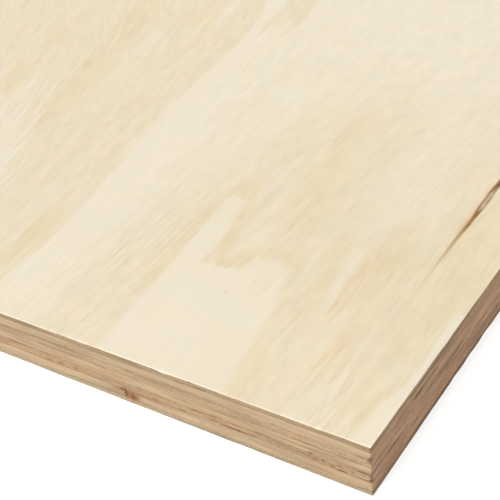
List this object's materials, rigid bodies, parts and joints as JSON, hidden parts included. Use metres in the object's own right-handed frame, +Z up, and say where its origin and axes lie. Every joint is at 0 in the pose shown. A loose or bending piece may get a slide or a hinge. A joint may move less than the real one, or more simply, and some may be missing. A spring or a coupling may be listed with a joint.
{
  "type": "plywood sheet",
  "caption": "Flat rectangular pine plywood sheet, sanded on both faces, with its cross-laminated plies showing on four sawn edges.",
  "frame": {"origin": "middle of the sheet's underside", "axes": "+X along the grain of the face, which is the sheet's length; +Y across the sheet; +Z up, out of the better face"},
  "size_m": [2.44, 1.22, 0.018],
  "materials": {
    "face_veneer": "sanded, unsealed pale pine with soft tan figure",
    "crossband": "sawn, unsealed pine",
    "long_ply": "sawn, unsealed pine",
    "back_veneer": "sanded, unsealed pine, plainer than the face"
  },
  "bodies": {
    "root": {"face_veneer": "face_veneer", "crossband_upper": "crossband", "long_ply_upper": "long_ply", "crossband_core": "crossband", "long_ply_lower": "long_ply", "crossband_lower": "crossband", "back_veneer": "back_veneer"}
  },
  "joints": []
}
